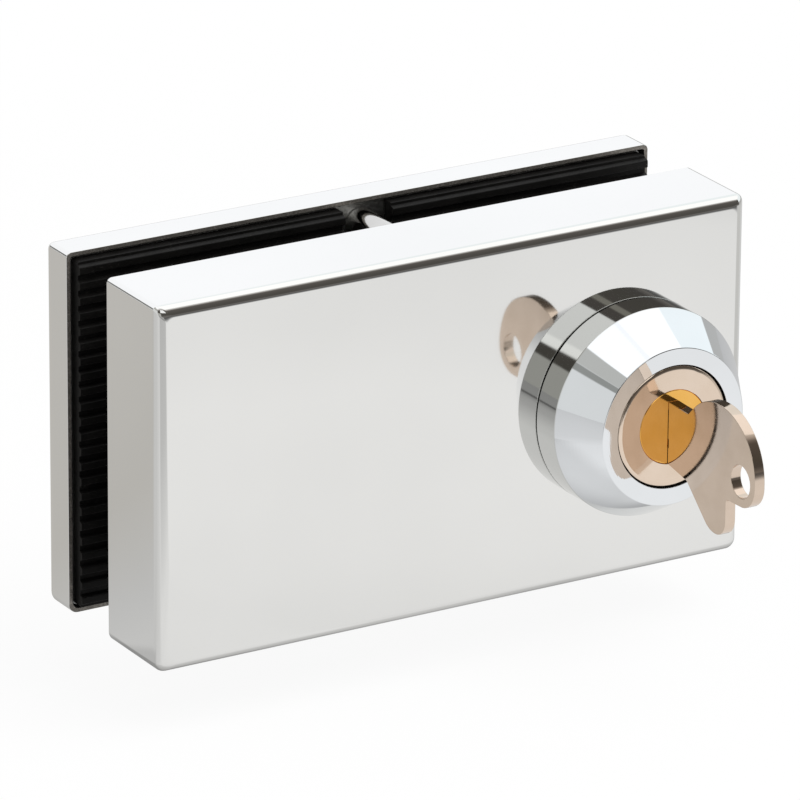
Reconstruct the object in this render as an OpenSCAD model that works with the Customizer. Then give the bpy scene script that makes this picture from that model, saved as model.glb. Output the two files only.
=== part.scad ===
// Clamp-on lock for a frameless glass door, all sizes in millimetres.
// X runs along the lock, Y runs from the front cover to the back cover, Z is up.
// The origin is at mid length, in the middle of the glass, on the lock's bottom edge.

/* [Covers] */
// Length of both covers
patch_w = 115; // [100:1:150]
// Height of both covers
patch_h = 65; // [60:1:90]
// Sheet thickness of the covers
cover_t = 0.8; // [0.6:0.1:1.2]
// Outside radius of the bends round a cover's face
bend_r = 2; // [1.4:0.1:3]
// Outside radius of the four ground corner seams
corner_r = 1; // [0.8:0.1:2]
// Depth of the front cover
front_depth = 17.6; // [17:0.2:24]
// Depth of the back cover
back_depth = 7.8; // [7:0.2:12]
// Space between a cover's walls and the casting in it
cover_gap = 0.3; // [0.2:0.05:0.6]

/* [Glass pocket] */
// Thickness of the glass that the lock clamps
glass_t = 9.5; // [8:0.5:12]
// Thickness of each gasket, ribs included
gasket_t = 3.2; // [2.6:0.1:4]
// How far each gasket sits below its cover's rim
gasket_seat = 1; // [0.6:0.1:1.2]
// Groove between a cover's wall and its gasket
gasket_inset = 0.55; // [0.4:0.05:1]
// Corner radius of the gaskets
gasket_r = 2.5; // [1:0.5:5]
// Spacing of the gasket's ribs
rib_pitch = 2.7; // [2.4:0.1:4]
// Height of a rib
rib_h = 0.8; // [0.4:0.1:1.2]
// Width of a rib's flat crest
rib_crest = 1.2; // [0.8:0.1:1.4]
// Width of a rib at its foot
rib_foot = 1.9; // [1.5:0.1:2.2]
// Width of the notches round the two clamp screws
notch_w = 9.4; // [8:0.2:14]

/* [Clamp screws] */
// Distance of a clamp screw's axis from the top or bottom edge
clamp_inset = 5; // [4.6:0.1:8]
// Shank radius of the clamp screws
clamp_r = 1.95; // [1.5:0.05:2.1]
// Head radius of the clamp screws
clamp_head_r = 3.3; // [3.2:0.05:3.5]
// Head height of the clamp screws
clamp_head_h = 4; // [3.4:0.1:4.4]
// How deep a clamp screw goes into the front casting
clamp_grip = 10; // [6:0.5:11]
// Outside radius of the spacer sleeves
sleeve_r = 3; // [2.7:0.1:3.6]
// Free space round a screw in its hole
screw_gap = 0.1; // [0.05:0.05:0.2]

/* [Cylinder] */
// Distance of the cylinder's axis from the covers' near end
cyl_end = 23.1; // [21.5:0.2:26]
// Height of the cylinder's axis above the bottom edge
cyl_z = 31.75; // [31:0.25:40]
// Radius of the cylinder body
cyl_r = 10.8; // [10.4:0.1:11]
// How far the cylinder stands out of the front cover
cyl_stand = 13.95; // [12:0.25:18]
// Width of the flange that seats on the cover, beyond the body
flange_w = 1.8; // [1.4:0.1:2]
// Thickness of that flange
flange_t = 1.5; // [1:0.1:2]
// Radius of the plug's front shoulder
plug_face_r = 6.65; // [6.5:0.05:7]
// Depth of that shoulder
plug_face_t = 1.2; // [0.8:0.1:2]
// Radius of the plug
plug_r = 6.3; // [6.2:0.05:6.4]
// Running clearance of the plug in the body
run_gap = 0.04; // [0.02:0.01:0.06]
// Thickness of the ring nut
nut_t = 3; // [2:0.2:3.2]
// Radial thickness of the ring nut
nut_w = 1.6; // [1.2:0.1:2.2]
// Thickness of the washer under the nut
washer_t = 0.6; // [0.4:0.1:1]

/* [Pin stacks] */
// Number of pin stacks
pin_count = 5; // [3:1:5]
// Distance of the first stack from the plug's face
pin_first = 4.2; // [3.8:0.1:4.4]
// Spacing of the stacks
pin_pitch = 3.8; // [3.4:0.1:3.9]
// Radius of the pins
pin_r = 1.3; // [1.1:0.05:1.4]
// Clearance of a pin in its chamber
pin_gap = 0.05; // [0.03:0.01:0.08]
// Length of a driver pin
driver_h = 1.5; // [1.2:0.1:1.7]
// Wire radius of a pin spring
wire_r = 0.14; // [0.1:0.01:0.18]
// Turns of a pin spring
spring_turns = 3; // [2:1:4]
// Thickness of the strip that closes the chambers
strip_t = 0.5; // [0.4:0.05:0.6]

/* [Collar] */
// Radius of the collar's straight wall
collar_r = 18.7; // [17:0.1:20]
// Height of that wall over the cover's face
collar_wall = 5.7; // [4:0.1:7]
// Outside radius of the collar's flat face
collar_face_r = 14.05; // [13:0.05:15]
// Free space round the cylinder in the collar's lip
collar_gap = 0.6; // [0.4:0.05:0.8]
// Axial play of the collar
collar_play = 0.2; // [0.15:0.05:0.4]

/* [Key] */
// Thickness of the key
key_t = 2; // [1.8:0.1:2.2]
// Clearance of the key in its keyway
key_gap = 0.08; // [0.05:0.01:0.12]
// Height of the blade's top edge over the axis
blade_top = 3.2; // [3:0.1:3.6]
// Height of the first cut over the axis
cut_first = 2.7; // [2.3:0.1:2.8]
// Drop from each cut to the next
cut_step = 0.5; // [0.3:0.05:0.55]
// Radius of the key-ring hole
ring_hole_r = 2.9; // [2:0.1:3]

/* [Bolt] */
// Width of the bolt
bolt_w = 16; // [12:0.5:18]
// Thickness of the bolt
bolt_t = 8; // [6:0.2:8.4]
// How far the bolt shoots out
throw = 10; // [8:0.25:10.5]
// How far the bolt's end sits inside when drawn back
bolt_recess = 0.6; // [0.4:0.1:1.5]
// Sliding clearance of the bolt in its channel
bolt_gap = 0.15; // [0.1:0.05:0.3]
// Radius of the crank pin
crank_pin_r = 1.5; // [1.2:0.1:1.8]
// Clearance of the crank pin in the fork
fork_gap = 0.35; // [0.3:0.05:0.5]
// Thickness of the fork plate
fork_t = 1.8; // [1.2:0.1:2]
// Width of the fork's arms
fork_arm = 2.5; // [2:0.1:3]
// Thickness of the cam
cam_t = 1.8; // [1.4:0.1:2.2]
// Thickness of the case lid
lid_t = 1; // [0.8:0.1:1.2]

/* [Casting] */
// Front wall of the casting
front_wall = 3; // [2.4:0.1:3.2]
// Thinnest wall between pockets
rib_wall = 2.5; // [2:0.1:3]
// Corner radius of the cored pockets
pocket_r = 3; // [1:0.5:4]
// Shank radius of the cover screws
cover_screw_r = 1.45; // [1.2:0.05:1.6]
// Length of the cover screws
cover_screw_l = 8; // [6:0.5:10]
// Shank radius of the lid screws
lid_screw_r = 1.2; // [1:0.05:1.4]
// Length of a lid screw below the lid
lid_screw_l = 3.6; // [3:0.1:4]

/* [Hidden] */
$fn = 64;
over = 1;

// The cylinder's axis from mid length
cyl_x = patch_w / 2 - cyl_end;

// Planes across the lock, from the glass outwards
rim_y = glass_t / 2 + gasket_t - gasket_seat;
seat_y = rim_y + gasket_seat;
front_y = -rim_y - front_depth;
front_in = front_y + cover_t;
back_y = rim_y + back_depth;
back_in = back_y - cover_t;
face_y = front_y - cyl_stand;

// Planes of the lock work, from the lid towards the front
fork_play = 0.2;
cam_play = 0.3;
lid_y = -seat_y - lid_t;
fork_back = lid_y - fork_play;
fork_front = fork_back - fork_t;
cam_back = fork_front - cam_play;
plug_end = cam_back - cam_t;
bolt_front = fork_front - bolt_t;
clip_t = 0.7;
clip_land = 0.55;
clip_play = 0.08;
clip_front = plug_end - clip_land - clip_t;
body_rear = clip_front - clip_play;
wall_y = front_in + front_wall;

// Radii that follow the cylinder body
flange_r = cyl_r + flange_w;
nut_r = cyl_r + nut_w;

// Outlines of the castings and the gaskets
cast_w = patch_w - 2 * (cover_t + cover_gap);
cast_h = patch_h - 2 * (cover_t + cover_gap);
cast_low = cover_t + cover_gap;
cast_bend = max(bend_r - cover_t / 2, 0.5);
gasket_w = patch_w - 2 * (cover_t + gasket_inset);
gasket_h = patch_h - 2 * (cover_t + gasket_inset);
clamp_z = [clamp_inset, patch_h - clamp_inset];

// Lock work round the cylinder's axis
work_r = nut_r + 1.4;
lid_margin = 5;
lid_r = work_r + lid_margin;
lid_screw_z = [-24, work_r + lid_margin / 2];
nut_clear = 0.7;
bolt_top = -(nut_r + nut_clear);
bolt_len = cyl_z + bolt_top - bolt_recess;
crank_r = throw / (2 * sin(45));
crank_z = crank_r * sin(45);
slot_h = crank_pin_r + fork_gap;
fork_clear = 0.3;
arm_start = crank_r * cos(45) - crank_pin_r - fork_clear;
web_start = crank_r + slot_h;
fork_side = web_start + fork_arm + fork_clear;
fork_tab = 6;
fork_left = 6;
fork_low = bolt_top - fork_tab - throw - fork_clear;

// Cylinder, pin stacks and key
strip_sink = 0.3;
strip_z = cyl_r - strip_sink - strip_t;
strip_w = 3.9;
chamber_wall = 0.8;
chamber_r = pin_r + pin_gap;
blade_low = -(plug_r - 0.3);
strip_front = face_y + pin_first - chamber_r - chamber_wall;
strip_len = (pin_count - 1) * pin_pitch + 2 * (chamber_r + chamber_wall);
shear_gap = 0.06;
key_pin_top = sqrt(pow(plug_r - shear_gap, 2) - pin_r * pin_r);
driver_low = plug_r + run_gap + shear_gap;
cam_screw_r = 1.2;
cam_screw_l = 3.7;
cam_hole_l = cam_screw_l + 0.2;
keyway_end = 0.75;
tip_play = 0.3;
keyway_len = cam_back - cam_hole_l - keyway_end - face_y;
blade_len = keyway_len - tip_play;
collar_back = front_y - collar_play;
collar_step = front_y - flange_t - collar_play;
groove_z = [-3.6, -2.0];
groove_right_z = [-1.2, 0.1];
groove_d = 0.5;

// Outline of the key's bow: distance out of the plug, height over the axis, corner radius
BOW = [[0.05, 4.65, 0], [0.05, -6.55, 0], [6, -7.6, 1], [13.2, -14.1, 4.5], [18.2, -14.1, 3],
       [18.2, -6.8, 0.8], [26.9, -6.6, 4.3], [26.9, 9.3, 10.9], [11, 9.3, 11], [6.1, 4.5, 0.6]];
RING_HOLE = [22.5, -2.2];

// A corner of an outline turned into an arc, and a whole outline of such corners
function unit(v) = v / norm(v);
function arc(c, r, a, b, n) = [for (i = [0:n]) c + r * unit(a * (1 - i / n) + b * i / n)];
function corner(p, a, b, r) =
    let (half = acos(unit(a - p) * unit(b - p)) / 2)
    let (c = p + unit(unit(a - p) + unit(b - p)) * r / sin(half))
    let (reach = r / tan(half))
    let (n = max(4, round(2 * r)))
    r == 0 ? [p] : arc(c, r, p + unit(a - p) * reach - c, p + unit(b - p) * reach - c, n);
function flat(p) = [p[0], p[1]];
function rounded(o) = let (n = len(o))
    [for (i = [0:n - 1]) each corner(flat(o[i]), flat(o[(i + n - 1) % n]), flat(o[(i + 1) % n]), o[i][2])];

// Height of the cut under stack i, and the stack's distance from the plug's face
function cut_z(i) = cut_first - i * cut_step;
function stack_d(i) = pin_first + i * pin_pitch;

module slab_y(y0, y1) {
    translate([0, y1, 0]) rotate([90, 0, 0]) linear_extrude(y1 - y0) children();
}

module rod_y(r, y0, y1) {
    translate([0, y0, 0]) rotate([-90, 0, 0]) cylinder(r = r, h = y1 - y0);
}

module cone_y(r0, r1, y0, y1) {
    translate([0, y0, 0]) rotate([-90, 0, 0]) cylinder(r1 = r0, r2 = r1, h = y1 - y0);
}

// Turned shape round the Y axis from [radius, y] points
module turned(points) {
    rotate([-90, 0, 0]) rotate_extrude() polygon(points);
}

module at_cylinder() {
    translate([cyl_x, 0, cyl_z]) children();
}

module at_clamps() {
    for (z = clamp_z) translate([0, 0, z]) children();
}

module round_rect(w, h, r) {
    square([w - 2 * r, h], center = true);
    square([w, h - 2 * r], center = true);
    for (x = [-1, 1], y = [-1, 1]) translate([x * (w / 2 - r), y * (h / 2 - r)]) circle(r);
}

module rect(x0, x1, z0, z1) {
    translate([x0, z0]) square([x1 - x0, z1 - z0]);
}

// Block with a bent front: d deep, face at y = 0, open side at y = d, centred in x and z
module bent_block(w, h, d, bend, seam) {
    intersection() {
        slab_y(0, d) round_rect(w, h, seam);
        translate([-w / 2, 0, 0]) rotate([90, 0, 90]) linear_extrude(w) bent_profile(d, h, bend);
        translate([0, 0, -h / 2]) linear_extrude(h) rotate(90) mirror([0, 1]) bent_profile(d, w, bend);
    }
}

// Section of that block: depth along the first axis, corners at depth 0 rounded
module bent_profile(d, h, bend) {
    translate([bend, -h / 2]) square([d - bend, h]);
    translate([0, bend - h / 2]) square([bend + 0.01, h - 2 * bend]);
    for (s = [-1, 1]) translate([bend, s * (h / 2 - bend)]) circle(bend);
}

module cover_shell(depth) {
    difference() {
        bent_block(patch_w, patch_h, depth, bend_r, corner_r);
        translate([0, cover_t, 0])
            bent_block(patch_w - 2 * cover_t, patch_h - 2 * cover_t, depth,
                       max(bend_r - cover_t, 0.3), max(corner_r - cover_t, 0.2));
    }
}

// Cover screws, one near each end of a casting, with their heads in the bottom edge
thread_gap = 0.03;
cover_screw_x = cast_w / 2 - 3.9;
cover_head_r = 2 * cover_screw_r;
cover_head_h = cover_head_r - cover_screw_r;
screw_sink = 0.05;

module cover_screw(gap) {
    translate([0, 0, screw_sink])
        cylinder(r1 = cover_head_r + gap, r2 = cover_screw_r + gap, h = cover_head_h);
    translate([0, 0, screw_sink]) cylinder(r = cover_screw_r + gap, h = cover_screw_l + gap);
}

module at_cover_screws(y) {
    for (s = [-1, 1]) translate([s * cover_screw_x, y, 0]) children();
}

cover_screw_front = -(seat_y - front_in) / 2;
cover_screw_back = (seat_y + back_in) / 2;

module cover_screw_holes(y) {
    at_cover_screws(y) {
        cover_screw(thread_gap);
        translate([0, 0, -over]) cylinder(r = cover_head_r + thread_gap, h = over + screw_sink);
    }
}

slot_play = 0.4;

module front_cover() {
    color("gainsboro")
    difference() {
        translate([0, front_y, patch_h / 2]) cover_shell(front_depth);
        at_cylinder() rod_y(cyl_r + 0.1, front_y - over, front_in + over);
        translate([cyl_x, (bolt_front + fork_front) / 2, cover_t / 2])
            cube([bolt_w + 2 * slot_play, bolt_t + 2 * slot_play, 2 * cover_t], center = true);
        cover_screw_holes(cover_screw_front);
    }
}

module back_cover() {
    color("gainsboro")
    difference() {
        translate([0, back_y, patch_h / 2]) rotate(180) cover_shell(back_depth);
        cover_screw_holes(cover_screw_back);
    }
}

// Front casting, which carries the cylinder and the lock work
module lock_body() {
    color("darkgray")
    difference() {
        translate([0, front_in, patch_h / 2])
            bent_block(cast_w, cast_h, -seat_y - front_in, cast_bend, corner_r);
        at_cylinder() work_space();
        cored_pockets(wall_y, -seat_y + over);
        at_clamps() rod_y(clamp_r + screw_gap, -seat_y - clamp_grip - 1, -seat_y + over);
        cover_screw_holes(cover_screw_front);
    }
}

// Room for the cylinder, nut, cam, fork and bolt, round the cylinder's axis
module work_space() {
    rod_y(cyl_r + 0.05, front_in - over, wall_y + over);
    slab_y(wall_y, -seat_y + over) round_rect(2 * work_r, 2 * work_r, pocket_r);
    slab_y(bolt_front - bolt_gap, fork_front + bolt_gap)
        rect(-bolt_w / 2 - bolt_gap, bolt_w / 2 + bolt_gap, -cyl_z - over, -work_r + over);
    slab_y(fork_front - bolt_gap, -seat_y + over)
        rect(-fork_left - fork_clear, fork_side + fork_clear, fork_low, -work_r + over);
    slab_y(lid_y, -seat_y + over) lid_outline();
    at_lid_screws() rod_y(lid_screw_r + thread_gap, lid_y - lid_screw_l - 0.4, -seat_y);
}

module lid_outline() {
    rect(-lid_r, lid_r, cast_low - cyl_z, lid_r);
}

module at_lid_screws() {
    for (s = [-1, 1], z = lid_screw_z) translate([s * (work_r + lid_margin / 2), 0, z]) children();
}

// Three cored pockets between the end boss and the lid's seat
pocket_n = 3;
end_boss = 7.4;
pocket_x0 = -cast_w / 2 + end_boss;
pocket_x1 = cyl_x - lid_r - rib_wall;
pocket_w = (pocket_x1 - pocket_x0 - (pocket_n - 1) * rib_wall) / pocket_n;
pocket_z = clamp_inset + clamp_r + rib_wall;

module cored_pockets(y0, y1) {
    slab_y(y0, y1)
        for (i = [0:pocket_n - 1])
            translate([pocket_x0 + pocket_w / 2 + i * (pocket_w + rib_wall), patch_h / 2])
                round_rect(pocket_w, patch_h - 2 * pocket_z, pocket_r);
}

// Back casting, with the seats of the clamp screws and two shallow pockets under the cover
head_play = 0.2;
head_seat = back_in - head_play - clamp_head_h;
sleeve_boss = 5;
plate_pocket_in = sleeve_r + sleeve_boss;
plate_pocket_out = cast_w / 2 - end_boss;
plate_pocket_d = 3;

module clamp_plate() {
    color("darkgray")
    difference() {
        translate([0, back_in, patch_h / 2])
            rotate(180) bent_block(cast_w, cast_h, back_in - seat_y, cast_bend, corner_r);
        at_clamps() {
            rod_y(clamp_r + screw_gap, seat_y - over, back_in);
            rod_y(clamp_head_r + screw_gap, head_seat, back_in + over);
        }
        slab_y(back_in - plate_pocket_d, back_in + over)
            for (s = [-1, 1])
                translate([s * (plate_pocket_in + plate_pocket_out) / 2, patch_h / 2])
                    round_rect(plate_pocket_out - plate_pocket_in, patch_h - 2 * pocket_z, pocket_r);
        cover_screw_holes(cover_screw_back);
    }
}

// Ribbed rubber gasket on the back casting, its crests towards the glass
rib_count = floor((gasket_h - rib_foot - 0.6) / (2 * rib_pitch)) * 2 + 1;

module gasket() {
    intersection() {
        translate([-patch_w / 2, 0, patch_h / 2])
            rotate([90, 0, 90]) linear_extrude(patch_w) gasket_profile();
        slab_y(0, seat_y + over)
            difference() {
                translate([0, patch_h / 2]) round_rect(gasket_w, gasket_h, gasket_r);
                for (s = [-1, 1]) translate([0, patch_h / 2 + s * (patch_h / 2 - clamp_inset)]) notch(s);
            }
    }
}

module notch(side) {
    circle(notch_w / 2);
    translate([-notch_w / 2, side > 0 ? 0 : -notch_w]) square(notch_w);
}

module gasket_profile() {
    crest = glass_t / 2;
    translate([crest + rib_h, -patch_h / 2]) square([gasket_t - rib_h, patch_h]);
    for (i = [-(rib_count - 1) / 2:(rib_count - 1) / 2])
        translate([crest, i * rib_pitch])
            polygon([[0, -rib_crest / 2], [rib_h + 0.01, -rib_foot / 2],
                     [rib_h + 0.01, rib_foot / 2], [0, rib_crest / 2]]);
}

module front_gasket() {
    color("dimgray") mirror([0, 1, 0]) gasket();
}

module back_gasket() {
    color("dimgray") gasket();
}

clamp_socket_r = 1.75;

module clamp_screws() {
    color("silver")
    at_clamps()
        difference() {
            union() {
                rod_y(clamp_r, -seat_y - clamp_grip, head_seat);
                rod_y(clamp_head_r, head_seat, back_in - head_play);
            }
            slab_y(back_in - head_play - clamp_head_h / 2, back_in) circle(clamp_socket_r, $fn = 6);
        }
}

module spacer_sleeves() {
    color("silver")
    at_clamps()
        difference() {
            rod_y(sleeve_r, -seat_y, seat_y);
            rod_y(clamp_r + screw_gap, -seat_y - over, seat_y + over);
        }
}

cover_socket_r = 1;
cover_socket_d = 1.1;

module cover_screws() {
    color("silver")
    for (y = [cover_screw_front, cover_screw_back])
        at_cover_screws(y)
            difference() {
                cover_screw(0);
                translate([0, 0, -over]) cylinder(r = cover_socket_r, h = over + cover_socket_d, $fn = 6);
            }
}

module case_lid() {
    color("gray")
    at_cylinder()
        difference() {
            slab_y(lid_y, -seat_y) lid_outline();
            at_lid_screws() {
                rod_y(lid_screw_r + thread_gap, lid_y - over, -seat_y + over);
                cone_y(lid_screw_r + thread_gap, lid_screw_r + lid_t + thread_gap, lid_y, -seat_y);
            }
        }
}

cross_l = 3;
cross_w = 0.5;

module lid_screws() {
    color("silver")
    at_cylinder() at_lid_screws()
        difference() {
            union() {
                rod_y(lid_screw_r, lid_y - lid_screw_l, -seat_y);
                cone_y(lid_screw_r, lid_screw_r + lid_t, lid_y, -seat_y);
            }
            slab_y(-seat_y - lid_t / 2, -seat_y + over) {
                square([cross_l, cross_w], center = true);
                square([cross_w, cross_l], center = true);
            }
        }
}

// Nickel-plated cylinder body with its flange, plug bore and pin chambers
edge = 0.3;

module cylinder_body() {
    color("rosybrown")
    at_cylinder()
        difference() {
            turned([[0, face_y], [cyl_r - edge, face_y], [cyl_r, face_y + edge],
                    [cyl_r, front_y - flange_t], [flange_r, front_y - flange_t], [flange_r, front_y],
                    [cyl_r, front_y], [cyl_r, body_rear], [0, body_rear]]);
            rod_y(plug_face_r + run_gap, face_y - over, face_y + plug_face_t + run_gap);
            rod_y(plug_r + run_gap, face_y, body_rear + over);
            for (i = [0:pin_count - 1])
                translate([0, face_y + stack_d(i), 0]) cylinder(r = chamber_r, h = strip_z + 0.2);
            translate([-strip_w / 2 - 0.05, strip_front - 0.1, strip_z])
                cube([strip_w + 0.1, strip_len + 0.2, flange_r]);
        }
}

module spring_cover() {
    color("goldenrod")
    at_cylinder()
        translate([-strip_w / 2, strip_front, strip_z]) cube([strip_w, strip_len, strip_t]);
}

module nut_washer() {
    color("silver")
    at_cylinder()
        difference() {
            rod_y(nut_r + 0.4, wall_y, wall_y + washer_t);
            rod_y(cyl_r + 0.15, wall_y - over, wall_y + washer_t + over);
        }
}

nut_slot_w = 2.4;
nut_slot_d = 1;

module cylinder_nut() {
    color("goldenrod")
    at_cylinder()
        difference() {
            rod_y(nut_r, wall_y + washer_t, wall_y + washer_t + nut_t);
            rod_y(cyl_r + 0.02, wall_y, wall_y + washer_t + nut_t + over);
            for (a = [45:90:315])
                rotate([0, a, 0]) translate([nut_r, wall_y + washer_t + nut_t, 0])
                    cube([2 * nut_slot_d, nut_slot_w, nut_slot_w], center = true);
        }
}

module driver_pins() {
    color("goldenrod")
    at_cylinder()
        for (i = [0:pin_count - 1])
            translate([0, face_y + stack_d(i), driver_low]) cylinder(r = pin_r, h = driver_h);
}

// Key pins stand on the key's cuts and end at the shear line
module key_pins() {
    color("goldenrod")
    at_cylinder()
        for (i = [0:pin_count - 1])
            translate([0, face_y + stack_d(i), cut_z(i) + 0.02]) {
                cylinder(r1 = 0.6, r2 = pin_r, h = 0.5);
                translate([0, 0, 0.5]) cylinder(r = pin_r, h = key_pin_top - cut_z(i) - 0.52);
            }
}

// One coil spring as a wire swept along its helix
spring_sides = 5;
spring_steps = 10;

module coil(r, height, turns) {
    n = spring_steps * turns;
    last = n * spring_sides;
    points = [for (i = [0:n], k = [0:spring_sides - 1])
        let (a = 360 * i / spring_steps, b = 360 * k / spring_sides, q = r + wire_r * cos(b))
        [q * cos(a), q * sin(a), wire_r + (height - 2 * wire_r) * i / n + wire_r * sin(b)]];
    sides = [for (i = [0:n - 1], k = [0:spring_sides - 1], h = [0, 1])
        let (p = i * spring_sides + k, q = i * spring_sides + (k + 1) % spring_sides)
        h == 0 ? [p, q, q + spring_sides] : [p, q + spring_sides, p + spring_sides]];
    caps = [[for (k = [spring_sides - 1:-1:0]) k], [for (k = [0:spring_sides - 1]) last + k]];
    polyhedron(points, concat(sides, caps));
}

module pin_springs() {
    color("silver")
    at_cylinder()
        for (i = [0:pin_count - 1])
            translate([0, face_y + stack_d(i), driver_low + driver_h])
                coil(pin_r - wire_r - 0.1, strip_z - driver_low - driver_h, spring_turns);
}

// Section of the blade, grown by a gap to give the keyway
module blade_section(gap, low) {
    half = key_t / 2 + gap;
    difference() {
        rect(-half, half, low, blade_top + gap);
        rect(-half - over, -half + groove_d, groove_z[0] + gap, groove_z[1] - gap);
        rect(half - groove_d, half + over, groove_right_z[0] + gap, groove_right_z[1] - gap);
    }
}

tail = 5;

module cylinder_plug() {
    color("orange")
    at_cylinder()
        difference() {
            union() {
                turned([[0, face_y], [plug_face_r - edge / 2, face_y], [plug_face_r, face_y + edge / 2],
                        [plug_face_r, face_y + plug_face_t], [plug_r, face_y + plug_face_t],
                        [plug_r, clip_front - 0.02], [plug_r - 0.6, clip_front - 0.02],
                        [plug_r - 0.6, clip_front + clip_t + 0.05], [plug_r, clip_front + clip_t + 0.05],
                        [plug_r, plug_end], [0, plug_end]]);
                slab_y(plug_end, cam_back) square(tail, center = true);
            }
            slab_y(face_y - over, face_y + keyway_len) blade_section(key_gap, -plug_face_r - over);
            for (i = [0:pin_count - 1])
                translate([0, face_y + stack_d(i), cut_z(i) - 0.3]) cylinder(r = chamber_r, h = plug_r);
            rod_y(cam_screw_r, cam_back - cam_hole_l, cam_back + over);
        }
}

module plug_circlip() {
    color("silver")
    at_cylinder()
        difference() {
            rod_y(plug_r + 1.4, clip_front, clip_front + clip_t);
            rod_y(plug_r - 0.58, clip_front - over, clip_front + clip_t + over);
            slab_y(clip_front - over, clip_front + clip_t + over)
                polygon([[0, 0], [-2 * plug_r, -plug_r], [-2 * plug_r, plug_r]]);
        }
}

// Crank on the plug's tail, at 45 degrees above the fork's mid travel
module crank_place() {
    rotate([0, -45, 0]) translate([crank_r, 0, 0]) children();
}

cam_hub_r = 5.2;
cam_arm_r = 3;

module cam() {
    color("silver")
    at_cylinder()
        difference() {
            union() {
                rod_y(cam_hub_r, plug_end, cam_back);
                crank_place() rod_y(cam_arm_r, plug_end, cam_back);
                rotate([0, -45, 0]) slab_y(plug_end, cam_back) rect(0, crank_r, -cam_arm_r, cam_arm_r);
            }
            slab_y(plug_end - over, cam_back + over) square(tail + 0.04, center = true);
            crank_place() rod_y(crank_pin_r, plug_end - over, cam_back + over);
        }
}

module crank_pin() {
    color("silver")
    at_cylinder() crank_place() rod_y(crank_pin_r, plug_end, fork_back - 0.2);
}

cam_head_r = 2.6;
cam_head_h = 1.4;
driver_slot = 0.6;

module cam_screw() {
    color("silver")
    at_cylinder()
        difference() {
            union() {
                rod_y(cam_screw_r - 0.02, cam_back - cam_screw_l, cam_back);
                rod_y(cam_head_r, cam_back, cam_back + cam_head_h);
            }
            slab_y(cam_back + cam_head_h / 2, cam_back + cam_head_h + over)
                square([2 * cam_head_r + over, driver_slot], center = true);
        }
}

// Key: bow and blade in the vertical plane through the cylinder's axis
module key_side() {
    translate([key_t / 2, 0, 0]) rotate([0, -90, 0]) linear_extrude(key_t) rotate(-90) children();
}

cut_half = 0.95;
function cuts() = [for (i = [0:pin_count - 1], s = [-1, 1])
    [-(stack_d(i) + s * cut_half), cut_z(i)]];

module key() {
    color("tan")
    at_cylinder() translate([0, face_y, 0])
        difference() {
            union() {
                key_side() {
                    difference() {
                        polygon(rounded(BOW));
                        translate(RING_HOLE) circle(ring_hole_r);
                    }
                    blade_outline();
                }
            }
            for (s = [-1, 1])
                let (z = s < 0 ? groove_z : groove_right_z)
                translate([s * key_t / 2, blade_len / 2, (z[0] + z[1]) / 2])
                    cube([2 * groove_d, blade_len + 0.4, z[1] - z[0]], center = true);
        }
}

// Blade with a falling stair of cuts, its tip ramped on both edges
module blade_outline() {
    polygon(concat([[1, blade_low], [1, blade_top], [-(pin_first - cut_half - 1), blade_top]], cuts(),
                   [[-(blade_len - 0.8), cut_z(pin_count - 1) - 0.4], [-blade_len, -2], [-blade_len, -3.4],
                    [-(blade_len - 2.4), blade_low]]));
}

// Bolt with a bevelled end, drawn back
bevel = 1;

module bolt() {
    color("silver")
    translate([cyl_x, 0, 0])
        intersection() {
            slab_y(bolt_front, fork_front) bolt_outline(bolt_w);
            translate([-bolt_w / 2, (bolt_front + fork_front) / 2, 0])
                rotate([90, 0, 90]) linear_extrude(bolt_w) bolt_outline(bolt_t);
        }
}

module bolt_outline(w) {
    end = bolt_recess + bolt_len;
    polygon([[-w / 2 + bevel, bolt_recess], [w / 2 - bevel, bolt_recess], [w / 2, bolt_recess + bevel],
             [w / 2, end], [-w / 2, end], [-w / 2, bolt_recess + bevel]]);
}

// Fork plate riveted to the bolt, open towards the axis
module bolt_fork() {
    color("gray")
    at_cylinder()
        difference() {
            slab_y(fork_front, fork_back)
                polygon([[-fork_left, bolt_top - fork_tab], [fork_side, bolt_top - fork_tab],
                         [fork_side, crank_z + slot_h + fork_arm], [arm_start, crank_z + slot_h + fork_arm],
                         [arm_start, crank_z + slot_h], [web_start, crank_z + slot_h],
                         [web_start, crank_z - slot_h], [arm_start, crank_z - slot_h],
                         [arm_start, crank_z - slot_h - fork_arm], [web_start, crank_z - slot_h - fork_arm],
                         [web_start, bolt_top], [-fork_left, bolt_top]]);
            at_rivets() rod_y(rivet_r, fork_front - over, fork_back + over);
        }
}

rivet_r = 1.5;
rivet_x = 4;

module at_rivets() {
    for (s = [-1, 1]) translate([s * rivet_x, 0, bolt_top - fork_tab / 2]) children();
}

module fork_rivets() {
    color("silver")
    at_cylinder() at_rivets() rod_y(rivet_r, fork_front, fork_back);
}

// Tapered collar that turns freely on the cylinder, held in by the body's flange
module collar() {
    color("whitesmoke")
    at_cylinder()
        turned([[flange_r + 0.4, collar_back], [flange_r + 0.4, collar_step],
                [cyl_r + collar_gap, collar_step], [cyl_r + collar_gap, face_y + edge],
                [cyl_r + collar_gap + edge, face_y], [collar_face_r - edge, face_y],
                [collar_face_r, face_y + edge / 2], [collar_r - 0.15, front_y - collar_wall - 0.2],
                [collar_r, front_y - collar_wall + 0.15], [collar_r, collar_back - 0.2],
                [collar_r - 0.2, collar_back]]);
}

front_cover();
back_cover();
lock_body();
clamp_plate();
front_gasket();
back_gasket();
clamp_screws();
spacer_sleeves();
cover_screws();
case_lid();
lid_screws();
cylinder_body();
nut_washer();
cylinder_nut();
driver_pins();
pin_springs();
spring_cover();
cylinder_plug();
key_pins();
plug_circlip();
cam();
crank_pin();
cam_screw();
key();
bolt();
bolt_fork();
fork_rivets();
collar();
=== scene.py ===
import math
import bmesh
import bpy
from mathutils import Matrix, Vector


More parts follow.
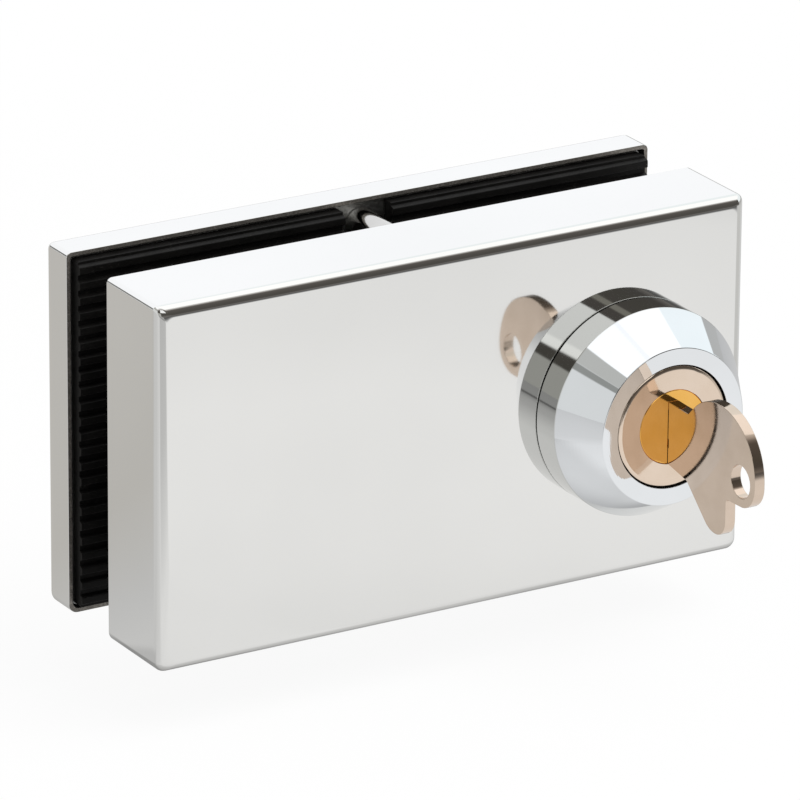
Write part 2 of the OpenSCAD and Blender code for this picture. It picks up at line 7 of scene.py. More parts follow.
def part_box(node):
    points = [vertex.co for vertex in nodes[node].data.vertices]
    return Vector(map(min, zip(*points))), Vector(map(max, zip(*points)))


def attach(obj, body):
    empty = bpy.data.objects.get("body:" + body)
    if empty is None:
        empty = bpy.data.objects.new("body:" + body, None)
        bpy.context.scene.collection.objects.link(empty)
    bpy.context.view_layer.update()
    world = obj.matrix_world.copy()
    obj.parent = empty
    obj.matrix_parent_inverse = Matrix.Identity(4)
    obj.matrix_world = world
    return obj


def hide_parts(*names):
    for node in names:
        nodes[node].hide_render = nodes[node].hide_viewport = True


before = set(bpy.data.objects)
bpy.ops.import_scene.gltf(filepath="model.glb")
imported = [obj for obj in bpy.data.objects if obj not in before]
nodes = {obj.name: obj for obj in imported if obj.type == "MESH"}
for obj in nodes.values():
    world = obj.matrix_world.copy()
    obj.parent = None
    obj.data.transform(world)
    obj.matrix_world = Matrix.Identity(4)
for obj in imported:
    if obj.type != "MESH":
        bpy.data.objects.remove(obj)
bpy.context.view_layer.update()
MM = 0.001

# Sizes in millimetres that the frame doesn't give

# Covers: sheet, outer radius of the bends, corner radius from the front, the same at the lower corners,
# edge of the rim, hole for the cylinder, and the bolt's slot
SHEET = 0.8
BEND = 2.0
SEAM = 1.0
SEAM_LOW = 1.7
SEAM_LEAST = 0.3
RIM_ROUND = 0.12
HOLE_RADIUS = 10.9
SLOT_PLAY = 0.4
SLOT_CORNER = 0.3

# Gaskets: ribs, notches round the clamp screws, corners and edges
RIB_PITCH = 2.7
RIB_HEIGHT = 0.8
RIB_CREST = 1.2
RIB_FOOT = 1.9
RIB_ROUND = 0.22
RIB_ROOT = 0.1
RIB_MARGIN = 0.6
NOTCH_WIDTH = 9.4
CLAMP_INSET = 5.0
GASKET_CORNER = 0.6
GASKET_EDGE = 0.15

# Collar: corners of its section as (radius, place along Y, edge radius), and the limits of its dull bore,
# which painted shade makes nearly black
COLLAR_SECTION = (
    (13.0, -24.75, 0.15), (13.0, -26.25, 0.2), (11.05, -26.25, 0.2), (11.05, -38.5, 0.06),
    (14.05, -38.5, 0.22), (18.68, -30.27, 0.25), (18.7, -24.75, 0.15))
BORE_LIMIT = 11.2
BORE_FRONT = -38.4

# Cylinder: radius inside the chamfer on its face, and that chamfer
FACE_RADIUS = 10.3
FACE_CHAMFER = 0.4

# Screws: shanks and heads by radius, threads as (depth, pitch), sockets as (radius, depth)
CLAMP_SHANK = 1.95
CLAMP_HEAD_TALL = 4.0
CLAMP_THREAD = (0.22, 0.7)
CLAMP_THREAD_END = -8.6
CLAMP_SOCKET = (1.75, 2.0)
COVER_SCREW_X = 52.5
COVER_HEAD = 2.9
COVER_SHANK = 1.45
COVER_THREAD = (0.2, 0.5)
COVER_SOCKET = (1.0, 1.1)
HEAD_PLAY = 0.08
LID_HEAD_WIDER = 1.0
LID_THREAD = (0.16, 0.5)
CROSS_REACH = 1.5
CROSS_HALF = 0.25
CROSS_DEPTH = 0.5
SLEEVE_BORE = 2.05
SLEEVE_EDGE = 0.15

# Springs behind the pins
SPRING_WIRE = 0.14
SPRING_TURNS = 3.0


# Places read from the frame, in millimetres

def span(node):
    low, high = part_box(node)
    return Vector(low) / MM, Vector(high) / MM


front_low, front_high = span("front_cover")
back_low, back_high = span("back_cover")
collar_low, collar_high = span("collar")
bolt_low, bolt_high = span("bolt")
screws_low, screws_high = span("cover_screws")
HALF_W = front_high.x
HEIGHT = front_high.z
MID_Z = HEIGHT / 2
CYL_X = (collar_low.x + collar_high.x) / 2
CYL_Z = (collar_low.z + collar_high.z) / 2
AXIS = Vector((CYL_X, 0, CYL_Z))


# Meshes

def add_object(name, data):
    piece = bpy.data.objects.new(name, data)
    bpy.context.scene.collection.objects.link(piece)
    return piece


def mesh_piece(name, bm):
    """A piece from mesh data in millimetres, with its faces outwards and its place in metres."""
    bmesh.ops.remove_doubles(bm, verts=bm.verts, dist=1e-5)
    bmesh.ops.recalc_face_normals(bm, faces=bm.faces)
    bmesh.ops.scale(bm, vec=(MM, MM, MM), verts=bm.verts)
    mesh = bpy.data.meshes.new(name)
    bm.to_mesh(mesh)
    bm.free()
    return add_object(name, mesh)


def bake(piece):
    """Turns a piece with its modifiers into a plain mesh."""
    bpy.context.view_layer.update()
    graph = bpy.context.evaluated_depsgraph_get()
    baked = bpy.data.meshes.new_from_object(piece.evaluated_get(graph))
    piece.modifiers.clear()
    piece.data = baked
    return piece


def smooth(piece, sharp_from=35):
    """Smooth shading in which the large flat faces keep their own direction."""
    piece.data.shade_smooth()
    piece.data.set_sharp_from_angle(angle=math.radians(sharp_from))
    weighted = piece.modifiers.new("normals", "WEIGHTED_NORMAL")
    weighted.weight = 100
    weighted.keep_sharp = True
    return bake(piece)


def round_edges(piece, width, segments=2, over_angle=32):
    bevel = piece.modifiers.new("edges", "BEVEL")
    bevel.width = width * MM
    bevel.segments = segments
    bevel.limit_method = "ANGLE"
    bevel.angle_limit = math.radians(over_angle)
    bevel.use_clamp_overlap = True
    bevel.miter_outer = "MITER_ARC"
    return bake(piece)


def cut(piece, tool):
    hole = piece.modifiers.new("hole", "BOOLEAN")
    hole.operation = "DIFFERENCE"
    hole.solver = "EXACT"
    hole.object = tool
    bake(piece)
    bpy.data.objects.remove(tool)


def fillet(points, closed=True, steps=6):
    """Corners (a, b, radius) of an outline with each corner turned into an arc."""
    made = []
    count = len(points)
    for i, (a, b, radius) in enumerate(points):
        here = Vector((a, b))
        if radius == 0 or (not closed and i in (0, count - 1)):
            made.append(here)
            continue
        back = (Vector(points[i - 1][:2]) - here).normalized()
        ahead = (Vector(points[(i + 1) % count][:2]) - here).normalized()
        half = back.angle(ahead) / 2
        centre = here + (back + ahead).normalized() * radius / math.sin(half)
        reach = radius / math.tan(half)
        start = here + back * reach - centre
        end = here + ahead * reach - centre
        for k in range(steps + 1):
            made.append(centre + start.slerp(end, k / steps) * radius)
    return made


def arc(centre, radius, start, end, steps):
    """Points of an arc, its start and end in degrees."""
    angles = [math.radians(start + (end - start) * k / steps) for k in range(steps + 1)]
    return [(centre[0] + radius * math.cos(a), centre[1] + radius * math.sin(a)) for a in angles]


def circle(radius, segments):
    """Points round the origin."""
    return [(radius * math.cos(math.tau * k / segments), radius * math.sin(math.tau * k / segments))
            for k in range(segments)]


def round_rect(half_w, half_h, radius, steps=8, low_radius=None):
    """A rounded rectangle about the origin as (x, z) points, anticlockwise from its right side."""
    points = []
    for sx, sz, start in ((1, 1, 0), (-1, 1, 90), (-1, -1, 180), (1, -1, 270)):
        corner = low_radius if low_radius and sz < 0 else radius
        centre = (sx * (half_w - corner), sz * (half_h - corner))
        points += arc(centre, corner, start, start + 90, steps)
    return points


def loft(bm, loops, hollow=False):
    """Faces between loops of equally many points. The ends are closed, or joined where it is hollow."""
    rings = [[bm.verts.new(p) for p in loop] for loop in loops]
    pairs = list(zip(rings, rings[1:]))
    if hollow:
        pairs.append((rings[-1], rings[0]))
    for ring, following in pairs:
        for k in range(len(ring)):
            after = (k + 1) % len(ring)
            bm.faces.new((ring[k], ring[after], following[after], following[k]))
    if not hollow:
        bm.faces.new(rings[0])
        bm.faces.new(rings[-1])


def hollow_turned(name, profile, centre=AXIS, segments=160):
    """A turned piece with a bore, round a line along Y, from (radius, distance) points of its wall."""
    bm = bmesh.new()
    loft(bm, [[Vector((a, along, b)) + centre for a, b in circle(radius, segments)]
              for radius, along in profile], hollow=True)
    return mesh_piece(name, bm)


def turned(name, profile, upright=False, segments=64):
    """A solid turned piece about the origin, along Y or upright along Z, from (radius, distance) points."""
    bm = bmesh.new()
    loft(bm, [[(a, b, along) if upright else (a, along, b) for a, b in circle(radius, segments)]
              for radius, along in profile])
    return mesh_piece(name, bm)


def prism(name, outline, start, end, upright=False):
    """A straight block between two places along Y, or upright along Z, from its outline."""
    bm = bmesh.new()
    loft(bm, [[(a, b, at) if upright else (a, at, b) for a, b in outline] for at in (start, end)])
    return mesh_piece(name, bm)


def thread(radius, depth, pitch, start, end):
    """Profile points of thread rings between two places."""
    points = []
    for k in range(int((end - start) / pitch)):
        at = start + k * pitch
        for share, down in ((0.12, 0), (0.5, depth), (0.88, 0)):
            points.append((radius - down, at + share * pitch))
    return points


def merged_copy(node):
    """The mesh of a node with its doubles merged."""
    bm = bmesh.new()
    bm.from_mesh(nodes[node].data)
    bmesh.ops.remove_doubles(bm, verts=bm.verts, dist=2e-6)
    return bm


def islands(node):
    """Low and high corners in millimetres of each separate solid of a node."""
    bm = merged_copy(node)
    waiting = set(bm.verts)
    found = []
    while waiting:
        group = [waiting.pop()]
        for vert in group:
            for line in vert.link_edges:
                other = line.other_vert(vert)
                if other in waiting:
                    waiting.remove(other)
                    group.append(other)
        low = Vector([min(v.co[i] for v in group) / MM for i in range(3)])
        high = Vector([max(v.co[i] for v in group) / MM for i in range(3)])
        found.append((low, high))
    bm.free()
    return sorted(found, key=lambda pair: tuple(round(c, 3) for c in (*pair[0], *pair[1])))


def cad_copy(node, edge, segments=2, chamfer=None):
    """A copy of a node with softened edges. A chamfer is (test of the ends of an edge, width)."""
    bm = merged_copy(node)
    bmesh.ops.dissolve_limit(bm, angle_limit=math.radians(0.6), verts=bm.verts, edges=bm.edges)
    if chamfer:
        chosen = [line for line in bm.edges if all(chamfer[0](v.co / MM) for v in line.verts)]
        bmesh.ops.bevel(bm, geom=chosen, offset=chamfer[1] * MM, segments=1, profile=0.5, affect="EDGES")
    mesh = bpy.data.meshes.new(node + "_finished")
    bm.to_mesh(mesh)
    bm.free()
    piece = add_object(node + "_finished", mesh)
    return smooth(round_edges(piece, edge, segments))


# Node building blocks

def feed(tree, socket, value):
    """Links a socket from another, or sets its value."""
    if isinstance(value, bpy.types.NodeSocket):
        tree.links.new(value, socket)
    else:
        socket.default_value = value


def add_node(tree, kind, values=None, **settings):
    made = tree.nodes.new(kind)
    for key, value in settings.items():
        setattr(made, key, value)
    for key, value in (values or {}).items():
        feed(tree, made.inputs[key], value)
    return made


def put(tree, kind, values=None, **settings):
    """Adds a shader node. A value is a number, a colour or a socket to link from."""
    return add_node(tree, "ShaderNode" + kind, values, **settings)


def geo(tree, kind, values=None, **settings):
    """Adds a geometry node in the same way."""
    return add_node(tree, "GeometryNode" + kind, values, **settings)


def new_tree(name, kind, inputs, outputs):
    """An empty node group with named sockets. An input is (name, type) or (name, type, value)."""
    tree = bpy.data.node_groups.new(name, kind + "NodeTree")
    for way, sockets in (("INPUT", inputs), ("OUTPUT", outputs)):
        for label, sort, *value in sockets:
            socket = tree.interface.new_socket(label, in_out=way, socket_type="NodeSocket" + sort)
            if value:
                socket.default_value = value[0]
    return tree, tree.nodes.new("NodeGroupInput").outputs, tree.nodes.new("NodeGroupOutput").inputs


def calc(tree, operation, a, b=0.0):
    return put(tree, "Math", {0: a, 1: b}, operation=operation).outputs[0]


def times(tree, a, b):
    return calc(tree, "MULTIPLY", a, b)


def vector_calc(tree, operation, a, b):
    return put(tree, "VectorMath", {0: a, 1: b}, operation=operation).outputs[0]


def ramp(tree, value, low, high, to_low=0.0, to_high=1.0, kind="SMOOTHSTEP"):
    made = put(tree, "MapRange", {"Value": value, "From Min": low, "From Max": high,
                                  "To Min": to_low, "To Max": to_high}, interpolation_type=kind)
    return made.outputs[0]


def between(tree, value, rise_from, rise_to, fall_from, fall_to):
    """A soft mask that is 1 in the middle of a range."""
    rise = ramp(tree, value, rise_from, rise_to)
    return times(tree, rise, ramp(tree, value, fall_from, fall_to, 1.0, 0.0))


def blend_colour(tree, factor, a, b):
    return put(tree, "Mix", {0: factor, 6: a, 7: b}, data_type="RGBA").outputs[2]


def set_inputs(tree, made, **values):
    """Underscores in the names stand for spaces."""
    for key, value in values.items():
        feed(tree, made.inputs[key.replace("_", " ")], value)


def use(tree, group, **values):
    """Places a group in a material."""
    made = add_node(tree, "ShaderNodeGroup", node_tree=group)
    set_inputs(tree, made, **values)
    return made.outputs


# Shader groups

def noise(tree, vector, scale, detail, roughness=0.5):
    values = {"Vector": vector, "Scale": scale, "Detail": detail, "Roughness": roughness}
    return put(tree, "TexNoise", values).outputs["Fac"]


def make_polish_cloud():
    """Soft, slow change over a surface, as hand polishing and handling leave it."""
    tree, given, out = new_tree("Polish cloud", "Shader", [
        ("Vector", "Vector"), ("Size", "Float", 0.02), ("Low", "Float", 0.0), ("High", "Float", 1.0)],
        [("Value", "Float")])
    scale = calc(tree, "DIVIDE", 1.0, given["Size"])
    cloud = noise(tree, given["Vector"], scale, 3.0, 0.55)
    tree.links.new(ramp(tree, cloud, 0.3, 0.7, given["Low"], given["High"], "LINEAR"), out["Value"])
    return tree


def make_hairlines():
    """Fine straight lines along X of the given vector, with uneven strength."""
    tree, given, out = new_tree("Hairlines", "Shader", [
        ("Vector", "Vector"), ("Spacing", "Float", 0.0002), ("Length", "Float", 0.02)],
        [("Height", "Float"), ("Mask", "Float")])
    across = calc(tree, "DIVIDE", 1.0, given["Spacing"])
    along = calc(tree, "DIVIDE", 1.0, given["Length"])
    stretch = put(tree, "CombineXYZ", {0: along, 1: across, 2: across}).outputs[0]
    vector = vector_calc(tree, "MULTIPLY", given["Vector"], stretch)
    lines = noise(tree, vector, 1.0, 2.0, 0.6)
    tree.links.new(lines, out["Height"])
    tree.links.new(ramp(tree, lines, 0.62, 0.72), out["Mask"])
    return tree


def make_turning_marks():
    """Rings left by a lathe tool. The vector is centred on the axis, which is Y."""
    tree, given, out = new_tree("Turning marks", "Shader", [
        ("Vector", "Vector"), ("Pitch", "Float", 0.0002), ("Unevenness", "Float", 0.5)],
        [("Height", "Float"), ("Radius", "Float")])
    part = put(tree, "SeparateXYZ", {0: given["Vector"]}).outputs
    square = calc(tree, "ADD", times(tree, part[0], part[0]), times(tree, part[2], part[2]))
    radius = calc(tree, "SQRT", square)
    turns = calc(tree, "DIVIDE", radius, given["Pitch"])
    wave = calc(tree, "SINE", times(tree, turns, math.tau))
    drift = put(tree, "TexNoise", {"W": turns, "Scale": 0.37, "Detail": 3.0},
                noise_dimensions="1D").outputs[0]
    height = calc(tree, "ADD", times(tree, wave, 0.25), times(tree, drift, given["Unevenness"]))
    tree.links.new(height, out["Height"])
    tree.links.new(radius, out["Radius"])
    return tree


def make_grain():
    """Cast or moulded skin: small dimples on slow swells."""
    tree, given, out = new_tree("Cast grain", "Shader", [
        ("Vector", "Vector"), ("Size", "Float", 0.0006)], [("Height", "Float"), ("Mask", "Float")])
    scale = calc(tree, "DIVIDE", 1.0, given["Size"])
    fine = noise(tree, given["Vector"], scale, 4.0, 0.6)
    cells = put(tree, "TexVoronoi", {"Vector": given["Vector"], "Scale": scale},
                feature="SMOOTH_F1").outputs["Distance"]
    tree.links.new(calc(tree, "ADD", fine, times(tree, cells, 0.5)), out["Height"])
    tree.links.new(ramp(tree, fine, 0.45, 0.65), out["Mask"])
    return tree


def make_dust():
    """Sparse pale specks."""
    tree, given, out = new_tree("Dust", "Shader", [
        ("Vector", "Vector"), ("Size", "Float", 0.0004), ("Amount", "Float", 0.2)], [("Mask", "Float")])
    scale = calc(tree, "DIVIDE", 1.0, given["Size"])
    speck = noise(tree, given["Vector"], scale, 2.0, 0.7)
    field = noise(tree, given["Vector"], times(tree, scale, 0.03), 2.0)
    both = times(tree, ramp(tree, speck, 0.62, 0.7), ramp(tree, field, 0.4, 0.65))
    tree.links.new(times(tree, both, given["Amount"]), out["Mask"])
    return tree


POLISH = make_polish_cloud()
HAIRLINES = make_hairlines()
TURNING = make_turning_marks()
GRAIN = make_grain()
DUST = make_dust()


# Colours of the finishes. Pairs are the dark and the light of a surface's slow change.
STEEL_TONES = (0.770, 0.768, 0.752, 1), (0.800, 0.797, 0.780, 1)
# Painted shade: the foot of the covers is darker, for the shadow under the part that the bottom bends
# reflect
FOOT_SHADE_TONE = (0.60, 0.595, 0.58, 1)
CHROME_TONES = (0.78, 0.80, 0.815, 1), (0.81, 0.83, 0.85, 1)
# Painted shade: the collar's wall is a darker, warmer chrome, for the darker reflection it shows
COLLAR_WALL_SHADE_TONE = (0.645, 0.65, 0.64, 1)
CYLINDER_TONES = (0.73, 0.595, 0.475, 1), (0.80, 0.665, 0.55, 1)
PLUG_TONES = (0.82, 0.44, 0.085, 1), (0.90, 0.52, 0.15, 1)
KEY_TONES = (0.64, 0.52, 0.42, 1), (0.70, 0.575, 0.475, 1)
BRASS_TONES = (0.72, 0.48, 0.18, 1), (0.82, 0.57, 0.24, 1)
ALLOY_TONES = (0.42, 0.42, 0.41, 1), (0.58, 0.58, 0.56, 1)
SCREW_TONES = (0.52, 0.51, 0.49, 1), (0.66, 0.65, 0.63, 1)
SLEEVE_TONES = (0.52, 0.51, 0.49, 1), (0.62, 0.61, 0.59, 1)
LID_TONES = (0.50, 0.50, 0.47, 1), (0.62, 0.61, 0.57, 1)
BOLT_TONES = (0.60, 0.59, 0.57, 1), (0.72, 0.71, 0.69, 1)
# Inside and rim of the covers: dull sheet, made nearly black and dark brown with painted shade
COVER_INSIDE_SHADE_TONES = (0.050, 0.047, 0.043, 1), (0.085, 0.081, 0.075, 1)
COVER_RIM_SHADE_TONES = (0.20, 0.185, 0.165, 1), (0.30, 0.28, 0.255, 1)
# Painted shade: the collar's bore is nearly black, for the shade in the gap round the cylinder
COLLAR_BORE_SHADE_TONES = (0.018, 0.016, 0.014, 1), (0.035, 0.032, 0.028, 1)
RUBBER_TONES = (0.003, 0.0028, 0.0025, 1), (0.007, 0.0065, 0.006, 1)
DUST_TONE = (0.12, 0.115, 0.105, 1)

# In metres: heights over which painted shade darkens the foot of the covers, and radii where the collar's
# wall starts, which is painted darker
FOOT_SHADE_HEIGHTS = 0.0006, 0.0018
WALL_SHADE_RADII = 0.01855, 0.01865
# In radians, for hairlines that run another way
QUARTER_TURN = 1.57


# Materials

def material(name):
    """A new material with its Principled shader and its coordinates."""
    made = bpy.data.materials.new(name)
    made.use_nodes = True
    tree = made.node_tree
    shader = tree.nodes["Principled BSDF"]
    place = tree.nodes.new("ShaderNodeTexCoord").outputs["Object"]
    return made, tree, shader, place


def coat(tree, shader, colour, rough, height, depth, metallic=1.0, **others):
    """Gives a shader its look, with a fine relief that is so many millimetres deep."""
    relief = put(tree, "Bump", {"Height": height, "Distance": depth * MM, "Strength": 1.0}).outputs[0]
    set_inputs(tree, shader, Base_Color=colour, Metallic=metallic, Roughness=rough, Normal=relief, **others)


def clouds(tree, place, size, low=0.0, high=1.0):
    return use(tree, POLISH, Vector=place, Size=size, Low=low, High=high)["Value"]


def rougher(tree, rough, mask, more):
    """Roughness that is higher where the mask is 1."""
    return calc(tree, "ADD", rough, times(tree, mask, more))


def turned_place(tree, place, turn):
    return put(tree, "Mapping", {"Vector": place, "Rotation": turn}).outputs[0]


def from_axis(tree, place):
    """Coordinates measured from the cylinder's axis."""
    return put(tree, "Mapping", {"Vector": place, "Location": (-CYL_X * MM, 0, -CYL_Z * MM)}).outputs[0]


def polished_steel():
    made, tree, shader, place = material("polished_steel")
    lines = use(tree, HAIRLINES, Vector=place, Spacing=0.00012, Length=0.03)
    rough = rougher(tree, clouds(tree, place, 0.03, 0.035, 0.06), lines["Mask"], 0.02)
    colour = blend_colour(tree, clouds(tree, place, 0.05), *STEEL_TONES)
    # Painted shade darkens the foot of the covers
    height = put(tree, "SeparateXYZ", {0: place}).outputs[2]
    colour = blend_colour(tree, ramp(tree, height, *FOOT_SHADE_HEIGHTS), FOOT_SHADE_TONE, colour)
    coat(tree, shader, colour, rough, clouds(tree, place, 0.012), 0.002)
    return made


def collar_chrome():
    made, tree, shader, place = material("collar_chrome")
    rings = use(tree, TURNING, Vector=from_axis(tree, place), Pitch=0.00035, Unevenness=0.6)
    colour = blend_colour(tree, clouds(tree, place, 0.015), *CHROME_TONES)
    # Painted shade: the wall gets a darker chrome than the front of the collar
    wall = ramp(tree, rings["Radius"], *WALL_SHADE_RADII)
    colour = blend_colour(tree, wall, colour, COLLAR_WALL_SHADE_TONE)
    coat(tree, shader, colour, clouds(tree, place, 0.01, 0.02, 0.05), rings["Height"], 0.0006)
    return made


def turned_metal(name, tones, rough, pitch):
    """Bright metal with fine lathe rings round the cylinder's axis."""
    made, tree, shader, place = material(name)
    centred = from_axis(tree, place)
    rings = use(tree, TURNING, Vector=centred, Pitch=pitch, Unevenness=0.7)
    mix = times(tree, calc(tree, "ADD", clouds(tree, place, 0.006), rings["Height"]), 0.6)
    cloud = clouds(tree, place, 0.004, rough * 0.85, rough * 1.15)
    coat(tree, shader, blend_colour(tree, mix, *tones), cloud, rings["Height"], 0.0004, Anisotropic=0.3,
         Tangent=vector_calc(tree, "CROSS_PRODUCT", centred, (0, 1, 0)))
    return made


def key_nickel():
    made, tree, shader, place = material("key_nickel")
    sideways = turned_place(tree, place, (0, 0, QUARTER_TURN))
    lines = use(tree, HAIRLINES, Vector=sideways, Spacing=0.0001, Length=0.006)
    colour = blend_colour(tree, clouds(tree, place, 0.005), *KEY_TONES)
    rough = rougher(tree, clouds(tree, place, 0.004, 0.05, 0.09), lines["Mask"], 0.05)
    coat(tree, shader, colour, rough, lines["Height"], 0.0008)
    return made


def brushed_metal(name, tones, rough, turn=(0, 0, 0)):
    """Plain worked metal with fine lines."""
    made, tree, shader, place = material(name)
    lines = use(tree, HAIRLINES, Vector=turned_place(tree, place, turn), Spacing=0.00015, Length=0.01)
    mix = times(tree, calc(tree, "ADD", clouds(tree, place, 0.004), lines["Height"]), 0.5)
    cloud = clouds(tree, place, 0.003, rough * 0.8, rough * 1.2)
    coat(tree, shader, blend_colour(tree, mix, *tones), cloud, lines["Height"], 0.004)
    return made


def bare_metal(name, tones, rough):
    """Dull unplated metal inside a hole; the tones given to it here also carry painted shade."""
    made, tree, shader, place = material(name)
    skin = use(tree, GRAIN, Vector=place, Size=0.0004)
    cloud = clouds(tree, place, 0.003, rough * 0.8, rough * 1.2)
    coat(tree, shader, blend_colour(tree, skin["Mask"], *tones), cloud, skin["Height"], 0.01, metallic=0.6)
    return made


def cast_alloy():
    made, tree, shader, place = material("cast_alloy")
    skin = use(tree, GRAIN, Vector=place, Size=0.0005)
    colour = blend_colour(tree, clouds(tree, place, 0.006), *ALLOY_TONES)
    rough = rougher(tree, 0.38, skin["Mask"], 0.15)
    coat(tree, shader, colour, rough, skin["Height"], 0.02)
    return made


def gasket_rubber():
    made, tree, shader, place = material("gasket_rubber")
    skin = use(tree, GRAIN, Vector=place, Size=0.00025)
    dust = use(tree, DUST, Vector=place, Size=0.0003, Amount=0.25)["Mask"]
    black = blend_colour(tree, clouds(tree, place, 0.004), *RUBBER_TONES)
    rough = rougher(tree, 0.50, skin["Mask"], 0.12)
    colour = blend_colour(tree, dust, black, DUST_TONE)
    coat(tree, shader, colour, rough, skin["Height"], 0.012, metallic=0.0, Specular_IOR_Level=0.24)
    return made


STEEL = polished_steel()
INSIDE_DULL_AND_SHADE = bare_metal("cover_inside", COVER_INSIDE_SHADE_TONES, 0.45)
RIM_CUT_AND_SHADE = bare_metal("cover_rim", COVER_RIM_SHADE_TONES, 0.3)
BORE_DULL_AND_SHADE = bare_metal("collar_bore", COLLAR_BORE_SHADE_TONES, 0.5)
CHROME = collar_chrome()
NICKEL = turned_metal("cylinder_nickel", CYLINDER_TONES, 0.07, 0.00014)
BRASS_FACE = turned_metal("plug_brass", PLUG_TONES, 0.08, 0.00012)
BRASS = brushed_metal("plain_brass", BRASS_TONES, 0.28)
KEY_NICKEL = key_nickel()
ALLOY = cast_alloy()
RUBBER = gasket_rubber()
SCREW_STEEL = brushed_metal("screw_steel", SCREW_TONES, 0.24)
SLEEVE_STEEL = brushed_metal("sleeve_steel", SLEEVE_TONES, 0.09)
LID_STEEL = brushed_metal("lid_steel", LID_TONES, 0.36)
BOLT_STEEL = brushed_metal("bolt_steel", BOLT_TONES, 0.22, (0, QUARTER_TURN, 0))


def finish(piece, surface, body, slot, *stands_for):
    piece.data.materials.clear()
    piece.data.materials.append(surface)
    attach(piece, body)
    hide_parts(*stands_for)


# Covers

def tray(name, face_y, rim_y):
    """A sheet metal tray, open towards rim_y. Its section is (distance in from the side, depth)."""
    depth = abs(rim_y - face_y)
    way = math.copysign(1, rim_y - face_y)
    inside = arc((BEND, BEND), BEND - SHEET, 270, 180, 8)
    outside = arc((BEND, BEND), BEND, 180, 270, 12)
    turn_in = arc((SHEET - RIM_ROUND, depth - RIM_ROUND), RIM_ROUND, 0, 90, 3)
    turn_out = arc((RIM_ROUND, depth - RIM_ROUND), RIM_ROUND, 90, 180, 3)
    bm = bmesh.new()
    loops = []
    for offset, deep in inside + turn_in + turn_out + outside:
        # The corners are tightest on the inner side of the sheet and widen a little towards the face
        radius = max(SEAM - min(offset, SHEET) * 0.7, SEAM_LEAST) + 0.5 * max(offset - SHEET, 0) / BEND
        if (offset, deep) in outside:
            radius = SEAM + 0.15 * offset
        loops.append([(x, face_y + way * deep, MID_Z + z)
                      for x, z in round_rect(HALF_W - offset, MID_Z - offset, radius,
                                             low_radius=radius + SEAM_LOW - SEAM)])
    loft(bm, loops)
    return mesh_piece(name, bm)


def dull_and_shaded_inside(sheet, face_y, rim_y):
    """The inner side of a cover is left as rolled, and its rim as cut; both are darkened further with
    painted shade.
    """
    sheet.data.materials.append(INSIDE_DULL_AND_SHADE)
    sheet.data.materials.append(RIM_CUT_AND_SHADE)
    clear = SHEET * 0.6
    for face in sheet.data.polygons:
        middle = face.center / MM
        offset = min(HALF_W - abs(middle.x), MID_Z - abs(middle.z - MID_Z))
        depth = abs(middle.y - face_y)
        inside = offset > clear and depth > clear
        if offset < BEND and depth < BEND:
            inside = math.hypot(BEND - offset, BEND - depth) < BEND - clear
        face.material_index = 2 if abs(middle.y - rim_y) < 0.01 else int(inside)


def make_covers():
    front = tray("front_cover_sheet", front_low.y, front_high.y)
    ring = [(CYL_X + a, CYL_Z + b) for a, b in circle(HOLE_RADIUS, 96)]
    cut(front, prism("tool", ring, front_low.y - 1, front_low.y + 3))
    mid_x, mid_y = (bolt_low.x + bolt_high.x) / 2, (bolt_low.y + bolt_high.y) / 2
    half_x, half_y = (bolt_high.x - bolt_low.x) / 2, (bolt_high.y - bolt_low.y) / 2
    slot = [(mid_x + x, mid_y + y)
            for x, y in round_rect(half_x + SLOT_PLAY, half_y + SLOT_PLAY, SLOT_CORNER)]
    cut(front, prism("tool", slot, -1, 1.5, upright=True))
    back = tray("back_cover_sheet", back_high.y, back_low.y)
    hole, slope = COVER_HEAD + HEAD_PLAY, COVER_HEAD - COVER_SHANK
    for sheet, y in ((front, screws_low.y + COVER_HEAD), (back, screws_high.y - COVER_HEAD)):
        for x in (-COVER_SCREW_X, COVER_SCREW_X):
            bm = bmesh.new()
            loft(bm, [[(x + a, y + b, z) for a, b in circle(radius, 48)] for radius, z in (
                (hole + 1, -1), (hole, 0), (hole - slope, slope), (hole - slope, 4))])
            cut(sheet, mesh_piece("tool", bm))
    for sheet, node, face_y, rim_y in (
            (front, "front_cover", front_low.y, front_high.y),
            (back, "back_cover", back_high.y, back_low.y)):
        finish(smooth(sheet), STEEL, "lock", "polished_steel", node)
        dull_and_shaded_inside(sheet, face_y, rim_y)


# Collar, cylinder and key

def make_collar():
    collar = smooth(hollow_turned("collar_turned", fillet(COLLAR_SECTION, steps=5)), 50)
    finish(collar, CHROME, "collar", "collar_chrome", "collar")
    # Painted shade: the bore is nearly black
    collar.data.materials.append(BORE_DULL_AND_SHADE)
    for face in collar.data.polygons:
        middle = face.center / MM - AXIS
        face.material_index = int(math.hypot(middle.x, middle.z) < BORE_LIMIT and middle.y > BORE_FRONT)


def make_cylinder():
    front = span("cylinder_body")[0].y

    def on_rim(p):
        return p.y < front + 0.01 and math.hypot(p.x - CYL_X, p.z - CYL_Z) > FACE_RADIUS

    body = cad_copy("cylinder_body", 0.06, chamfer=(on_rim, FACE_CHAMFER))
    finish(body, NICKEL, "lock", "cylinder_nickel", "cylinder_body")
    finish(cad_copy("cylinder_plug", 0.05), BRASS_FACE, "plug", "plain_brass", "cylinder_plug")
    finish(cad_copy("key", 0.14, 3), KEY_NICKEL, "key", "key_nickel", "key")


# Geometry Nodes pieces

def piece_tree(name, inputs):
    """An empty tree for a modifier, with the geometry and these inputs."""
    shape = ("Geometry", "Geometry")
    tree, given, out = new_tree(name, "Geometry", [shape, *inputs], [shape])
    tree.is_modifier = True
    return tree, given, out


